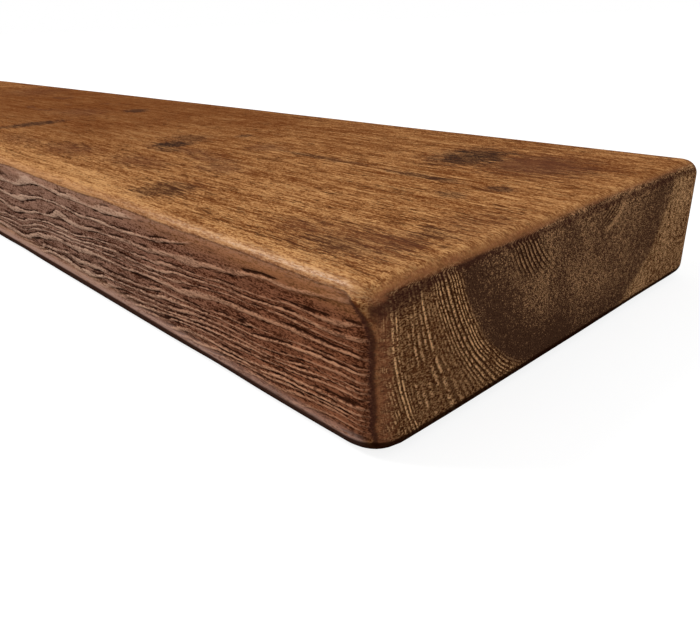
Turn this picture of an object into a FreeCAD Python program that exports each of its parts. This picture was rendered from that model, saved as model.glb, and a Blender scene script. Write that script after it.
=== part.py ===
import FreeCAD, Part
import math
import os
import Sketcher

# A floating shelf: one thick timber board pushed onto three steel supports that are screwed to the wall.
# X runs along the board, the wall is the plane y = 0, the front of the board faces -Y, and z = 0 is the
# middle of the board's thickness.

# Driving dimensions, in millimetres and degrees
SIZES = {
    "board_length": 900,
    "board_depth": 170,
    "board_thickness": 44,
    "edge_radius": 5,
    "corner_ease": 2,
    "support_end_margin": 130,
    "front_cover": 44,
    "plate_length": 70,
    "plate_height": 25,
    "plate_thickness": 4,
    "plate_corner_radius": 6,
    "plate_edge_break": 0.5,
    "wall_hole_diameter": 5.5,
    "wall_hole_margin": 9,
    "wall_sink_land": 1.5,
    "sink_angle": 90,
    "rod_diameter": 12,
    "rod_tip_chamfer": 1.5,
    "screw_diameter": 6,
    "screw_length": 16,
    "screw_sink_land": 1.2,
    "screw_tip_chamfer": 0.8,
    "hex_key_size": 4,
    "hex_key_depth": 1.8,
    "bore_clearance": 0.25,
    "bore_end_gap": 2,
    "bore_mouth_chamfer": 1,
    "drill_point_angle": 118,
    "recess_clearance": 0.5,
    "recess_seat_gap": 0.3,
    "screw_hole_clearance": 0.2,
    "thread_clearance": 0.05,
    "thread_end_gap": 2,
    "head_setback": 0.2,
    "head_seat_gap": 0.05,
}

# Sizes that follow from the driving dimensions
DERIVED = {
    "corner_radius": "edge_radius + corner_ease",
    "board_middle": "board_depth / 2",
    "support_reach": "board_length / 2 - support_end_margin",
    "support_span": "2 * support_reach",
    "recess_length": "plate_length + 2 * recess_clearance",
    "recess_height": "plate_height + 2 * recess_clearance",
    "recess_depth": "plate_thickness + recess_seat_gap",
    "recess_corner_radius": "plate_corner_radius + recess_clearance",
    "bore_reach": "board_depth - front_cover",
    "bore_depth": "bore_reach - recess_depth",
    "bore_diameter": "rod_diameter + 2 * bore_clearance",
    "bore_mouth_diameter": "bore_diameter + 2 * bore_mouth_chamfer",
    "rod_length": "bore_reach - bore_end_gap - plate_thickness",
    "wall_hole_reach": "plate_length / 2 - wall_hole_margin",
    "sink_slope": "tan(sink_angle * 1deg / 2)",
    "wall_sink_diameter": "wall_hole_diameter + 2 * (plate_thickness - wall_sink_land) * sink_slope",
    "screw_hole_diameter": "screw_diameter + 2 * screw_hole_clearance",
    "screw_sink_diameter": "screw_hole_diameter + 2 * (plate_thickness - screw_sink_land) * sink_slope",
    "thread_hole_diameter": "screw_diameter + 2 * thread_clearance",
    "thread_hole_depth": "head_setback + screw_length + thread_end_gap - plate_thickness",
    "shank_radius": "screw_diameter / 2",
    "shank_end": "head_setback + screw_length",
    "shank_chamfer_start": "shank_end - screw_tip_chamfer",
    "shank_tip_radius": "shank_radius - screw_tip_chamfer",
    "head_radius": "screw_sink_diameter / 2 - (head_setback + head_seat_gap) * sink_slope",
    "head_end": "head_setback + (head_radius - shank_radius) / sink_slope",
    "hex_key_corners": "hex_key_size / cos(30deg)",
}

SUPPORT_PLACES = {"left": "-support_reach", "centre": None, "right": "support_reach"}

# The numbers by which a sketch knows its own axes, and the ends and the centre of a line, arc or circle
SKETCH_X_AXIS, SKETCH_Y_AXIS = range(-1, -3, -1)
START, END, CENTRE = range(1, 4)
SKETCH_ORIGIN = (SKETCH_X_AXIS, START)

document = FreeCAD.newDocument("floating_shelf")
sheet = document.addObject("Spreadsheet::Sheet", "Sizes")
for row, (alias, content) in enumerate({**SIZES, **DERIVED}.items(), start=1):
    sheet.set(f"A{row}", alias)
    sheet.set(f"B{row}", f"={content}" if alias in DERIVED else str(content))
    sheet.setAlias(f"B{row}", alias)
document.recompute()


def value(alias):
    return float(sheet.get(alias))


def bind(thing, property_name, formula):
    """Tie a property to the sheet. A formula is a size's name, with a minus sign where it runs backwards."""
    sign = "-" if formula.startswith("-") else ""
    thing.setExpression(property_name, f"{sign}Sizes.{formula.lstrip('-')}")


# Sketches

def new_body(label):
    body = document.addObject("PartDesign::Body", label)
    body.Label = label
    return body


def origin_feature(body, role):
    return next(feature for feature in body.Origin.OriginFeatures if feature.Role == role)


def new_sketch(body, name, plane, **offsets):
    """A sketch on one of the body's own planes, moved along its own x, y or z by named sizes."""
    sketch = body.newObject("Sketcher::SketchObject", f"{body.Label}_{name}")
    sketch.AttachmentSupport = [(origin_feature(body, plane), "")]
    sketch.MapMode = "FlatFace"
    for axis, formula in offsets.items():
        bind(sketch, f"AttachmentOffset.Base.{axis}", formula)
    return sketch


def dimension(sketch, kind, name, places, alias):
    index = sketch.addConstraint(Sketcher.Constraint(kind, *places, value(alias)))
    sketch.renameConstraint(index, name)
    bind(sketch, f"Constraints.{name}", alias)


def rounded_rectangle(sketch, length, height, radius):
    """A rectangle about the sketch's origin: four sides, each followed by the arc of its corner."""
    half_length, half_height, corner = value(length) / 2, value(height) / 2, value(radius)
    directions = [(1, -1), (1, 1), (-1, 1), (-1, -1)]
    centres = [
        FreeCAD.Vector(x * (half_length - corner), y * (half_height - corner), 0) for x, y in directions
    ]
    sides, arcs = [], []
    for turn, centre in enumerate(centres):
        start_angle = (turn - 1) * math.pi / 2
        circle = Part.Circle(centre, FreeCAD.Vector(0, 0, 1), corner)
        arc = Part.ArcOfCircle(circle, start_angle, start_angle + math.pi / 2)
        previous = centres[turn - 1] + (arc.StartPoint - centre)
        sides.append(sketch.addGeometry(Part.LineSegment(previous, arc.StartPoint)))
        arcs.append(sketch.addGeometry(arc))
    for turn, (side, arc) in enumerate(zip(sides, arcs)):
        sketch.addConstraint(Sketcher.Constraint("Tangent", side, END, arc, START))
        sketch.addConstraint(Sketcher.Constraint("Tangent", arc, END, sides[(turn + 1) % len(sides)], START))
        sketch.addConstraint(Sketcher.Constraint("Vertical" if turn % 2 else "Horizontal", side))
    for arc in arcs[1:]:
        sketch.addConstraint(Sketcher.Constraint("Equal", arcs[0], arc))
    sketch.addConstraint(Sketcher.Constraint("Symmetric", arcs[0], CENTRE, arcs[2], CENTRE, *SKETCH_ORIGIN))
    dimension(sketch, "Radius", "corner", (arcs[0],), radius)
    dimension(sketch, "DistanceX", "length", (sides[3], START, sides[1], START), length)
    dimension(sketch, "DistanceY", "height", (sides[0], START, sides[2], START), height)


def round_spot(sketch, diameter):
    """A circle about the sketch's origin."""
    circle = Part.Circle(FreeCAD.Vector(), FreeCAD.Vector(0, 0, 1), value(diameter) / 2)
    index = sketch.addGeometry(circle)
    sketch.addConstraint(Sketcher.Constraint("Coincident", index, CENTRE, *SKETCH_ORIGIN))
    dimension(sketch, "Diameter", "diameter", (index,), diameter)


def pair_of_spots(sketch, diameter, reach):
    """Two circles on the sketch's x axis, one each side of its origin."""
    for side in (-1, 1):
        centre = FreeCAD.Vector(side * value(reach), 0, 0)
        sketch.addGeometry(Part.Circle(centre, FreeCAD.Vector(0, 0, 1), value(diameter) / 2))
    first, second = 0, 1
    sketch.addConstraint(Sketcher.Constraint("PointOnObject", second, CENTRE, SKETCH_X_AXIS))
    sketch.addConstraint(Sketcher.Constraint("Symmetric", first, CENTRE, second, CENTRE, *SKETCH_ORIGIN))
    sketch.addConstraint(Sketcher.Constraint("Equal", first, second))
    dimension(sketch, "Diameter", "diameter", (first,), diameter)
    dimension(sketch, "DistanceX", "reach", (*SKETCH_ORIGIN, second, CENTRE), reach)


def hexagon(sketch, corners):
    """A regular hexagon about the sketch's origin, on a construction circle through its corners."""
    radius = value(corners) / 2
    points = [
        FreeCAD.Vector(radius * math.cos(turn * math.pi / 3), radius * math.sin(turn * math.pi / 3), 0)
        for turn in range(6)
    ]
    sides = [sketch.addGeometry(Part.LineSegment(points[turn - 1], points[turn])) for turn in range(6)]
    rim = sketch.addGeometry(Part.Circle(FreeCAD.Vector(), FreeCAD.Vector(0, 0, 1), radius), True)
    sketch.addConstraint(Sketcher.Constraint("Coincident", rim, CENTRE, *SKETCH_ORIGIN))
    dimension(sketch, "Diameter", "corners", (rim,), corners)
    for turn, side in enumerate(sides):
        sketch.addConstraint(Sketcher.Constraint("Coincident", sides[turn - 1], END, side, START))
        sketch.addConstraint(Sketcher.Constraint("PointOnObject", side, END, rim))
        if turn:
            sketch.addConstraint(Sketcher.Constraint("Equal", sides[0], side))
    sketch.addConstraint(Sketcher.Constraint("PointOnObject", sides[0], END, SKETCH_X_AXIS))


def turned_profile(sketch, stations):
    """Half the section of a turned piece, from radius and distance behind the wall plane, closed on the axis."""
    inner = [(value(radius), -value(depth)) for radius, depth in stations]
    outline = [(0, inner[0][1]), *inner, (0, inner[-1][1])]
    points = [FreeCAD.Vector(x, y, 0) for x, y in outline]
    lines = [sketch.addGeometry(Part.LineSegment(*ends)) for ends in zip(points, points[1:] + points[:1])]
    for turn, line in enumerate(lines):
        sketch.addConstraint(Sketcher.Constraint("Coincident", lines[turn - 1], END, line, START))
    for line in (lines[0], lines[-2]):
        sketch.addConstraint(Sketcher.Constraint("Horizontal", line))
    for line in (lines[0], lines[-1]):
        sketch.addConstraint(Sketcher.Constraint("PointOnObject", line, START, SKETCH_Y_AXIS))
    for turn, (radius, depth) in enumerate(stations):
        place = (lines[turn], END)
        dimension(sketch, "DistanceX", f"radius_{turn}", (*SKETCH_ORIGIN, *place), radius)
        dimension(sketch, "DistanceY", f"depth_{turn}", (*place, *SKETCH_ORIGIN), depth)


# Features

def new_feature(body, kind, name):
    feature = body.newObject(f"PartDesign::{kind}", f"{body.Label}_{name}")
    body.Tip = feature
    return feature


def settle(feature, kind, before):
    """Rebuild, and make sure that the feature adds or takes away material."""
    document.recompute()
    change = feature.Shape.Volume - before
    if (change <= 0) if kind == "adds" else (change >= 0):
        raise RuntimeError(f"{feature.Label} changes the volume by {change}")
    return feature


def pad(body, name, sketch, length, both_ways=False):
    feature = new_feature(body, "Pad", name)
    feature.Profile = sketch
    feature.SideType = "Symmetric" if both_ways else "One side"
    bind(feature, "Length", length)
    return settle(feature, "adds", 0)


def pocket(body, name, sketch, depth):
    """A pocket that runs from its sketch towards the front."""
    before = body.Tip.Shape.Volume
    feature = new_feature(body, "Pocket", name)
    feature.Profile = sketch
    feature.Reversed = True
    bind(feature, "Length", depth)
    return settle(feature, "cuts", before)


def hole(body, name, sketch, diameter, depth=None, sink=None, towards_front=True):
    """Drilled holes at the circles of a sketch: blind with a drill's point, or through, countersunk or plain."""
    before = body.Tip.Shape.Volume
    document.recompute()
    feature = new_feature(body, "Hole", name)
    feature.Profile = sketch
    document.recompute()
    feature.Reversed = towards_front
    feature.DepthType = "Dimension" if depth else "ThroughAll"
    feature.DrillPoint = "Angled" if depth else "Flat"
    feature.HoleCutType = "Countersink" if sink else "None"
    document.recompute()
    bind(feature, "Diameter", diameter)
    if depth:
        feature.DrillForDepth = False
        bind(feature, "Depth", depth)
        bind(feature, "DrillPointAngle", "drill_point_angle")
    if sink:
        feature.HoleCutCustomValues = True
        bind(feature, "HoleCutDiameter", sink)
        bind(feature, "HoleCutCountersinkAngle", "sink_angle")
    return settle(feature, "cuts", before)


def edges_at(feature, axis, place):
    """Names of the edges that lie whole in the plane across an axis at a place."""
    names = []
    for index, edge in enumerate(feature.Shape.Edges, start=1):
        box = edge.BoundBox
        ends = (getattr(box, f"{axis}Min"), getattr(box, f"{axis}Max"))
        if all(math.isclose(end, place, abs_tol=Part.Precision.approximation()) for end in ends):
            names.append(f"Edge{index}")
    return names


def dress(body, kind, name, edges, alias):
    """Round or bevel named edges of the body's last feature."""
    base = body.Tip
    feature = new_feature(body, kind, name)
    feature.Base = (base, edges)
    bind(feature, "Radius" if kind == "Fillet" else "Size", alias)
    return settle(feature, "cuts", base.Shape.Volume)


# Pieces

def make_board():
    """The timber board: rounded all round, with a routed recess and a drilled bore for each support."""
    body = new_body("shelf_board")
    outline = new_sketch(body, "outline", "XY_Plane", y="-board_middle")
    rounded_rectangle(outline, "board_length", "board_depth", "corner_radius")
    plank = pad(body, "plank", outline, "board_thickness", both_ways=True)
    face = value("board_thickness") / 2
    rims = edges_at(plank, "Z", face) + edges_at(plank, "Z", -face)
    dress(body, "Fillet", "roundover", rims, "edge_radius")

    seat = new_sketch(body, "recess_outline", "XZ_Plane", x="-support_reach")
    rounded_rectangle(seat, "recess_length", "recess_height", "recess_corner_radius")
    recess = pocket(body, "recess", seat, "recess_depth")
    spot = new_sketch(body, "bore_centre", "XZ_Plane", x="-support_reach", z="recess_depth")
    round_spot(spot, "bore_diameter")
    bore = hole(body, "bore", spot, "bore_diameter", "bore_depth", "bore_mouth_diameter")

    before = bore.Shape.Volume
    row = new_feature(body, "LinearPattern", "support_row")
    row.Originals = [recess, bore]
    row.Direction = (origin_feature(body, "X_Axis"), [""])
    row.Occurrences = len(SUPPORT_PLACES)
    bind(row, "Length", "support_span")
    settle(row, "cuts", before)
    return body


def make_plate(label):
    """A steel wall plate: wall screws sink into its front, and the rod's screw into its back."""
    body = new_body(label)
    outline = new_sketch(body, "outline", "XZ_Plane")
    rounded_rectangle(outline, "plate_length", "plate_height", "plate_corner_radius")
    blank = pad(body, "blank", outline, "plate_thickness")
    rim = edges_at(blank, "Y", -value("plate_thickness"))
    dress(body, "Chamfer", "edge_break", rim, "plate_edge_break")
    spots = new_sketch(body, "wall_hole_centres", "XZ_Plane", z="plate_thickness")
    pair_of_spots(spots, "wall_hole_diameter", "wall_hole_reach")
    hole(body, "wall_holes", spots, "wall_hole_diameter", sink="wall_sink_diameter", towards_front=False)
    spot = new_sketch(body, "screw_hole_centre", "XZ_Plane")
    round_spot(spot, "screw_hole_diameter")
    hole(body, "screw_hole", spot, "screw_hole_diameter", sink="screw_sink_diameter")
    return body


def make_rod(label):
    """A round steel rod with a bevelled tip, tapped at the end that meets the plate."""
    body = new_body(label)
    section = new_sketch(body, "section", "XZ_Plane", z="plate_thickness")
    round_spot(section, "rod_diameter")
    bar = pad(body, "bar", section, "rod_length")
    tip = edges_at(bar, "Y", -value("plate_thickness") - value("rod_length"))
    dress(body, "Chamfer", "tip", tip, "rod_tip_chamfer")
    spot = new_sketch(body, "thread_centre", "XZ_Plane", z="plate_thickness")
    round_spot(spot, "thread_hole_diameter")
    hole(body, "thread_hole", spot, "thread_hole_diameter", "thread_hole_depth")
    return body


def make_screw(label):
    """A countersunk screw, sunk in the back of the plate, with a socket for a hexagon key."""
    body = new_body(label)
    section = new_sketch(body, "section", "XY_Plane")
    stations = [
        ("head_radius", "head_setback"),
        ("shank_radius", "head_end"),
        ("shank_radius", "shank_chamfer_start"),
        ("shank_tip_radius", "shank_end"),
    ]
    turned_profile(section, stations)
    blank = new_feature(body, "Revolution", "blank")
    blank.Profile = section
    blank.ReferenceAxis = (section, ["V_Axis"])
    settle(blank, "adds", 0)
    socket = new_sketch(body, "socket_outline", "XZ_Plane", z="head_setback")
    hexagon(socket, "hex_key_corners")
    pocket(body, "socket", socket, "hex_key_depth")
    return body


pieces = [make_board()]
for side, place in SUPPORT_PLACES.items():
    for make, name in ((make_plate, "support_plate"), (make_rod, "support_rod"), (make_screw, "rod_screw")):
        piece = make(f"{name}_{side}")
        if place:
            bind(piece, "Placement.Base.x", place)
        pieces.append(piece)
document.recompute()

# Every object has to be sound before anything is written
for item in document.Objects:
    if {"Invalid", "Error"} & set(item.State):
        raise RuntimeError(f"{item.Label} failed: {item.State}")
for piece in pieces:
    if piece.Shape.isNull() or not piece.Shape.isValid() or len(piece.Shape.Solids) != 1:
        raise RuntimeError(f"{piece.Label} is not one sound solid")

os.makedirs("parts", exist_ok=True)
for piece in pieces:
    piece.Shape.exportStep(f"parts/{piece.Label}.step")
    print(f"{piece.Label}: {piece.Shape.Volume:.1f} cubic millimetres")
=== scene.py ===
"""Rustic floating shelf: a stained softwood board that hangs on three hidden steel supports."""

import math
from types import SimpleNamespace

import bmesh
import bpy
from bpy.props import FloatProperty, FloatVectorProperty, PointerProperty
from mathutils import Matrix, Vector


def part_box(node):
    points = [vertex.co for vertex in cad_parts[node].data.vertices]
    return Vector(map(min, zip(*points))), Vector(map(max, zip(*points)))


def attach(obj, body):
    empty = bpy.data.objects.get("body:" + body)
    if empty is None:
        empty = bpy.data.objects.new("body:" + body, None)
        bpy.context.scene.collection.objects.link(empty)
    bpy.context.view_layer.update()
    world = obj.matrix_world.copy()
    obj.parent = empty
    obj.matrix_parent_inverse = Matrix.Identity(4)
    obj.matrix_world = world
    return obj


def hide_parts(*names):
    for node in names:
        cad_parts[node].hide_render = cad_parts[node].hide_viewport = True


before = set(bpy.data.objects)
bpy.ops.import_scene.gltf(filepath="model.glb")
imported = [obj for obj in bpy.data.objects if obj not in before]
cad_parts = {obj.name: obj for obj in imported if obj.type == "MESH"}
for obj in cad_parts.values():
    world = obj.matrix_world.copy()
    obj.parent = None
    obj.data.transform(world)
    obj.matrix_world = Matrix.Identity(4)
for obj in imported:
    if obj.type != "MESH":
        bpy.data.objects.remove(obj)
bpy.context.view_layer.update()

bl_info = {
    "name": "Rustic Floating Shelf",
    "version": (1, 0, 0),
    "blender": (4, 5, 0),
    "location": "View3D > Sidebar > Shelf",
    "description": "Makes a stained softwood shelf board and the steel supports hidden in its back",
    "category": "Add Mesh",
}

MM = 0.001
SIDES = ("left", "centre", "right")

# The board's box in metres, and its sizes in millimetres
BOARD_LOW, BOARD_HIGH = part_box("shelf_board")
BOARD_SIZE = BOARD_HIGH - BOARD_LOW
LENGTH = (BOARD_HIGH.x - BOARD_LOW.x) / MM
DEPTH = (BOARD_HIGH.y - BOARD_LOW.y) / MM
HALF_THICK = (BOARD_HIGH.z - BOARD_LOW.z) / MM / 2


# Node trees written as expressions

# Sockets of a Mix node for colours
MIX_UNDER = 6
MIX_OVER = 7
MIX_COLOUR = 2
# How far a noise with seed 1 lies from one with seed 0 along x, y and z
SEED_WAY = (1, 1.7, 2.3)


class Field:
    """One output of a node. Arithmetic on it adds Math nodes, or Vector Math nodes for a vector."""

    def __init__(self, nodes, socket):
        self.nodes = nodes
        self.socket = socket

    def calculate(self, operation, first, second=0):
        if self.socket.type == "VALUE":
            return self.nodes.add("ShaderNodeMath", {"operation": operation}, {0: first, 1: second})
        values = {}
        for place, value in enumerate((first, second)):
            values[place] = (value, value, value) if isinstance(value, (int, float)) else value
        return self.nodes.add("ShaderNodeVectorMath", {"operation": operation}, values)

    def __add__(self, other):
        return self.calculate("ADD", self, other)

    __radd__ = __add__

    def __sub__(self, other):
        return self.calculate("SUBTRACT", self, other)

    def __rsub__(self, other):
        return self.calculate("SUBTRACT", other, self)

    def __mul__(self, other):
        return self.calculate("MULTIPLY", self, other)

    __rmul__ = __mul__

    def __truediv__(self, other):
        return self.calculate("DIVIDE", self, other)

    def __rtruediv__(self, other):
        return self.calculate("DIVIDE", other, self)

    def __pow__(self, other):
        return self.calculate("POWER", self, other)


class Nodes:
    """A node tree that is being written."""

    def __init__(self, tree):
        self.tree = tree

    def add(self, kind, settings=None, values=None, output=0):
        """Adds a node: first its settings, then its sockets' values or links. Gives the named output."""
        made = self.tree.nodes.new(kind)
        for name, setting in (settings or {}).items():
            setattr(made, name, setting)
        for place, value in (values or {}).items():
            if isinstance(value, Field):
                self.tree.links.new(value.socket, made.inputs[place])
            else:
                made.inputs[place].default_value = value
        if isinstance(output, tuple):
            return [Field(self, made.outputs[name]) for name in output]
        return Field(self, made.outputs[output]) if made.outputs else None

    def noise(self, place, grain, detail, roughness, seed):
        """Noise from 0 to 1 whose lumps are as long as grain says along x, y and z."""
        scale = tuple(1 / length for length in grain)
        shift = tuple(seed * way for way in SEED_WAY)
        operation = {"operation": "MULTIPLY_ADD"}
        where = self.add("ShaderNodeVectorMath", operation, {0: place, 1: scale, 2: shift})
        values = {"Vector": where, "Scale": 1, "Detail": detail, "Roughness": roughness}
        return self.add("ShaderNodeTexNoise", None, values, "Fac")


def least(first, second):
    return first.calculate("MINIMUM", first, second)


def most(first, second):
    return first.calculate("MAXIMUM", first, second)


def fraction(value):
    """What follows the value's decimal point."""
    return value.calculate("FRACT", value)


def luck_of(count):
    """A number from 0 to 1 that is each whole number's own."""
    number = count.calculate("FLOOR", count)
    return count.nodes.add("ShaderNodeTexWhiteNoise", {"noise_dimensions": "1D"}, {"W": number})


def fade(value, low, high):
    """0 below low and 1 above high, smooth between; the other way round where low is the greater."""
    turned = low > high
    values = {"Value": value, "From Min": min(low, high), "From Max": max(low, high)}
    values["To Min"] = 1 if turned else 0
    values["To Max"] = 0 if turned else 1
    return value.nodes.add("ShaderNodeMapRange", {"interpolation_type": "SMOOTHSTEP"}, values)


def tint(under, over, share):
    """Colour under, with that share of colour over."""
    values = {0: share}
    for place, value in ((MIX_UNDER, under), (MIX_OVER, over)):
        values[place] = value if isinstance(value, Field) else (*value, 1)
    return share.nodes.add("ShaderNodeMix", {"data_type": "RGBA"}, values, MIX_COLOUR)


def lies_near(value, middle, reach):
    """1 at the middle, 0 from reach on."""
    return fade(value.calculate("ABSOLUTE", value - middle), reach, reach * 0.5)


def span(place, centre, radii):
    """Distance from a centre, measured in radii."""
    scaled = (place - tuple(centre)) * tuple(1 / radius for radius in radii)
    return place.nodes.add("ShaderNodeVectorMath", {"operation": "LENGTH"}, {0: scaled}, "Value")


# Fields that the board's carving and its stain share, in millimetres

# Where the middle of the trunk lay, from the front face and above the board's middle
PITH_BEHIND_FRONT = 87
PITH_ABOVE_MIDDLE = 38
# Least depth under the pith at which the rings' slope on the front is reckoned
LEAST_BELOW_PITH = 12
# Depth behind the front to which its rounded edge shows the rings of the front face
TURNED_DEPTH = 7
# A bulge in the front's rings, and a spot of the front without cracks: middle and radii
BULGE = ((-172, 0, 7), (12, 12, 7))
SOUND_WOOD = ((-216, 0, 15.5), (9, 9, 3.6))
# Radius of the brushed front's upper corners, and how far they lie under the top and from the ends
BRUSHED_CORNER = 8
BRUSHED_UNDER_TOP = 2.4
BRUSHED_FROM_END = 2
# Spread of that front's ragged border
BORDER_SPREAD = 1.6
# How far the top's edge comes down at the worn corner tip, and the slant of a line across that tip
TIP_DROP = 1.7
TIP_SLANT = 1.6

# Noise in the wood: its lumps' length along, across and up the board, then detail, roughness and seed
WOOD_NOISE = {
    "drift": ((150, 70, 70), 1, 0.5, 0),
    "wave": ((52, 20, 11), 2.5, 0.45, 3),
    "fray": ((5, 0.9, 0.9), 3, 0.65, 7),
    "border": ((30, 6, 6), 2, 0.5, 11),
    "swell": ((26, 5, 5), 2, 0.5, 13),
    "tear_over": ((17, 2.4, 2.4), 3, 0.65, 17),
    "tear_under": ((15, 2, 2), 3, 0.65, 19),
    "softness": ((35, 9, 5), 2, 0.5, 23),
    "knocks": ((60, 60, 40), 1, 0.5, 31),
    "fibre": ((9, 0.9, 0.8), 3, 0.75, 41),
    "grit": ((1.5, 0.45, 0.4), 2, 0.8, 43),
    "fleck": ((5.5, 0.65, 0.5), 2, 0.7, 45),
    "patch": ((50, 20, 20), 3, 0.55, 47),
    "streak": ((70, 3, 3), 3, 0.6, 53),
    "cluster": ((22, 7, 7), 3, 0.6, 59),
    "warp": ((6, 2, 2), 3, 0.65, 61),
    "pore": ((2, 0.5, 0.42), 2.5, 0.85, 67),
    "blot": ((4, 1.8, 1.5), 2, 0.6, 71),
    "sanding": ((0.9, 9, 1.2), 3, 0.65, 73),
    "thread": ((55, 1, 1), 2, 0.6, 79),
    "blotch": ((34, 15, 15), 2, 0.6, 83),
    "dust": ((0.7, 0.3, 0.28), 1, 0.5, 89),
    "tick": ((2, 1, 0.32), 1, 0.5, 97),
}


def lumps(at, name):
    """One of the wood's noises, from 0 to 1."""
    return at.nodes.noise(at.place, *WOOD_NOISE[name])


def swing(at, name):
    """One of the wood's noises, round 0."""
    return lumps(at, name) - 0.5


def measure(nodes, position):
    """Where a point lies, from the right end, front and middle, and from each side of the board."""
    place = (position - (BOARD_HIGH.x, BOARD_LOW.y, 0)) * (1 / MM)
    x, y, z = nodes.add("ShaderNodeSeparateXYZ", None, {0: place}, ("X", "Y", "Z"))
    at = SimpleNamespace(nodes=nodes, place=place, y=y, z=z)
    at.from_right = 0 - x
    at.from_end = least(at.from_right, x + LENGTH)
    at.from_back = DEPTH - y
    at.from_side = least(y, at.from_back)
    at.from_top = HALF_THICK - z
    at.from_under = z + HALF_THICK
    at.from_face = least(at.from_top, at.from_under)
    at.from_tip = at.from_right + y * TIP_SLANT
    at.tip = fade(at.from_tip, 11, 5) * TIP_DROP
    return at


def grow_rings(at, ring_gap):
    """Year rings round a pith that sinks along the board, and the height over and under a ring's rim."""
    wave = swing(at, "wave")
    sink = fade(at.from_right, -60, 260) * 19 - 1.75
    turned = least(at.y, TURNED_DEPTH) * fade(at.from_end, 0.4, 1.8)
    across = at.y - turned - PITH_BEHIND_FRONT
    above = at.z - PITH_ABOVE_MIDDLE + sink
    radius = (across * across + above * above) ** 0.5
    slope = most(0 - above, LEAST_BELOW_PITH) / radius
    sawn = fade(at.from_end, 3, 1)
    straighter = fade(radius, 69, 91) * at.from_top * 0.26 * sawn
    bent = radius + swing(at, "drift") * slope * 16 + wave * slope * (10.5 - sawn * 8) - straighter
    at.bent = bent + fade(span(at.place, *BULGE), 1, 0) * 0.2
    by_radius = {"W": at.bent * 0.21, "Scale": 1, "Detail": 1}
    at.uneven = at.nodes.add("ShaderNodeTexNoise", {"noise_dimensions": "1D"}, by_radius) - 0.5
    count = (at.bent + at.uneven * 2.6) / ring_gap
    at.ring_gap = ring_gap
    at.radius = radius + wave * 4
    at.luck = luck_of(count)
    at.share = fraction(count)
    at.step = ring_gap / slope
    at.over_rim = (1 - at.share) * at.step
    at.under_rim = at.share * at.step
    return at


def brushed_field(at):
    """1 where the front was left rough, 0 where it was sanded; also the depth inside its border."""
    on_front = fade(at.y, 5, 2)
    ragged = swing(at, "border") * BORDER_SPREAD
    below = most(BRUSHED_CORNER + BRUSHED_UNDER_TOP + at.tip - at.from_top - ragged, 0)
    beside = most(BRUSHED_CORNER + BRUSHED_FROM_END - at.from_end - ragged, 0)
    inset = BRUSHED_CORNER - (below * below + beside * beside) ** 0.5
    sanded_low = fade(at.from_right, 15, 180) * 2.8
    over_foot = fade(at.from_under + ragged - sanded_low, 3.4, 7.6)
    return on_front * fade(inset, 0, 0.8) * over_foot, inset


def front_bands(at):
    """Pale ridges of hard wood in the brushed front, and the dark cracks torn along them."""
    fray = swing(at, "fray")
    swell = swing(at, "swell")
    near = fade(at.from_right, 150, 20)
    broad = fade(at.from_right, 40, 95) * 0.22
    thick = (0.6 + at.luck * 0.6 + swell * 2.2 + broad) * least(at.step / 2.9, 1)
    rise = at.over_rim + fray * (1.3 - near * 0.3) - thick
    ridge = fade(rise, 0.18, -0.18)
    torn_over = fade(lumps(at, "tear_over") - near * 0.04, 0.45, 0.52)
    torn_under = fade(lumps(at, "tear_under") - near * 0.1, 0.47, 0.53)
    over = fade(rise, -0.1, 0.12) * fade(rise, 0.8, 0.4) * torn_over
    under = fade(at.under_rim + fray * 1.2, 0.7, 0.35) * torn_under
    begun = fade(at.from_top + swell * 9, 3.6, 5.6)
    sound = fade(span(at.place, *SOUND_WOOD), 0.8, 1.2)
    cracks = most(over, under) * begun * sound
    return ridge * (1 - cracks) * begun, cracks


# The board's shape

# Steps of its mesh along the front, near the front's right end, along the ends and back, and upwards
FRONT_STEP = 2 * MM
NEAR_STEP = 1 * MM
NEAR_REACH = 150 * MM
END_STEP = 3 * MM
BACK_STEP = 12 * MM
ROW_STEP = 0.3 * MM
# Points on a quarter turn: of an upright corner, a recess's corner, a rounded edge and a bore
CORNER_COLUMNS = 12
RECESS_POINTS = 10
EDGE_ROWS = 8
BORE_POINTS = 8
# Rows of the flat back that stay with its rounded edges
BACK_ROWS = 2
# Width of the flat band inside the rounded edges
CAP_BAND = 1 * MM

# Room of the recess round its plate, and of the bore round its rod
PLATE_ROOM = 0.5 * MM
PLATE_ROOM_BEHIND = 0.3 * MM
RECESS_CORNER = 6.5 * MM
EDGE_BREAK = 0.3 * MM
ROD_ROOM = 0.25 * MM
ROD_END_ROOM = 2 * MM
BORE_CHAMFER = 1 * MM
DRILL_POINT = math.radians(118)

# Where each side lies on the bake map: left, bottom, right, top
MAP_PLACES = {
    "front": (0.005, 0.80, 0.995, 0.99),
    "top": (0.005, 0.45, 0.995, 0.79),
    "under": (0.005, 0.25, 0.995, 0.44),
    "back": (0.005, 0.16, 0.995, 0.24),
    "right": (0.005, 0.02, 0.46, 0.15),
    "left": (0.47, 0.02, 0.77, 0.15),
    "hole_left": (0.78, 0.02, 0.845, 0.15),
    "hole_centre": (0.855, 0.02, 0.92, 0.15),
    "hole_right": (0.93, 0.02, 0.995, 0.15),
}
# A support hole's parts, as shares of its place there: the floor's middle and half size, then bands
FLOOR_MIDDLE = (0.5, 0.27)
FLOOR_SPREAD = (0.49, 0.26)
BREAK_BAND = (0.55, 0.57)
WALL_BAND = (0.57, 0.70)
CHAMFER_BAND = (0.70, 0.72)
BORE_BAND = (0.72, 0.97)
POINT_BAND = (0.97, 1)


def steps(start, end, size):
    """Evenly spaced values from start up to end, without end."""
    count = max(1, round(abs(end - start) / size))
    return [start + (end - start) * i / count for i in range(count)]


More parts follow.
